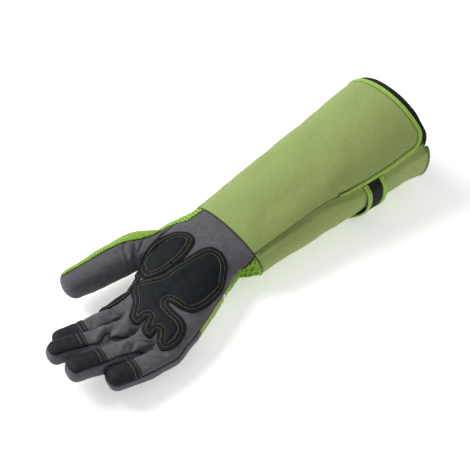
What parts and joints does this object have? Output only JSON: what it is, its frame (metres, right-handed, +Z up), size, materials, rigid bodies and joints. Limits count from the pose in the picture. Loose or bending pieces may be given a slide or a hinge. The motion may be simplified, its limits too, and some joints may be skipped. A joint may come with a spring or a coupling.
{
  "type": "rose pruning gauntlet",
  "caption": "Right-hand gardening gauntlet lying palm up: padded suede hand with mesh wrist and a long open forearm cuff with a slit and a strap.",
  "frame": {"origin": "under the middle of the glove's bounding box, on the surface it lies on", "axes": "+X along the glove from the fingers to the cuff's mouth, +Y towards the thumb's side, +Z up, out of the palm"},
  "size_m": [0.4576, 0.1552, 0.107],
  "materials": {
    "synthetic_leather": "matte",
    "sage_cloth": "matte",
    "lime_mesh": "matte",
    "lime_binding": "matte",
    "black_patch": "satin",
    "piping": "matte",
    "lining": "matte",
    "strap_web": "matte"
  },
  "bodies": {
    "root": {"palm_panel": "synthetic_leather", "back_panel": "synthetic_leather", "thumb_panel": "synthetic_leather", "knuckle_panel": "sage_cloth", "cuff_front": "sage_cloth", "cuff_back": "sage_cloth", "back_piping": "piping", "wrist_mesh": "lime_mesh", "thumb_mesh": "lime_mesh", "palm_patch": "black_patch", "thenar_patch": "black_patch", "web_patch": "black_patch", "index_cap": "black_patch", "middle_cap": "black_patch", "ring_cap": "black_patch", "little_cap": "black_patch", "front_binding": "lime_binding", "back_binding": "lime_binding", "strap_edge_inner": "lime_binding", "strap_edge_outer": "lime_binding", "cuff_lining": "lining", "strap_web": "strap_web"}
  },
  "joints": []
}
